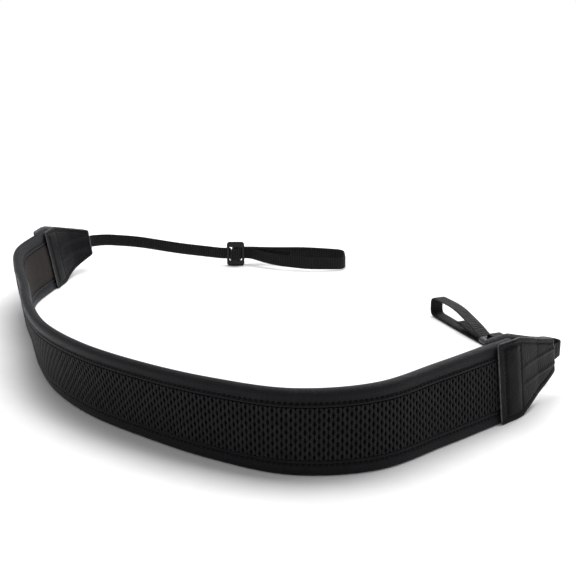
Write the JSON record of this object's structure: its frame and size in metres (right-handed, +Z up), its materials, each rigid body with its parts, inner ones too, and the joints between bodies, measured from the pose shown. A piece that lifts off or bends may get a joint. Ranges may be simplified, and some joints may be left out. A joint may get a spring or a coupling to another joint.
{
  "type": "camera neck strap",
  "caption": "Padded neck strap for a camera: a bound pad standing on edge in a C, leather end tabs, and narrow webbings with sliders and lug loops.",
  "frame": {"origin": "middle of the strap's footprint, on the surface that the pad stands on", "axes": "+Z up, -Y towards the bulging front of the pad, +X towards the right end tab"},
  "size_m": [0.3667, 0.4032, 0.0466],
  "materials": {
    "foam": "matte foam rubber",
    "mesh": "woven non-slip mesh",
    "lining": "smooth brushed cloth",
    "binding": "smooth stretch cloth",
    "leather": "satin fine-grained leather",
    "webbing": "cross-ribbed woven nylon",
    "slider": "moulded satin plastic"
  },
  "bodies": {
    "root": {"pad_core": "foam", "mesh_panel": "mesh", "inner_lining": "lining", "binding_upper": "binding", "binding_lower": "binding", "tab_left_outer": "leather", "tab_left_inner": "leather", "tab_right_outer": "leather", "tab_right_inner": "leather", "webbing_left": "webbing", "webbing_right": "webbing", "slider_left": "slider", "slider_right": "slider"}
  },
  "joints": []
}
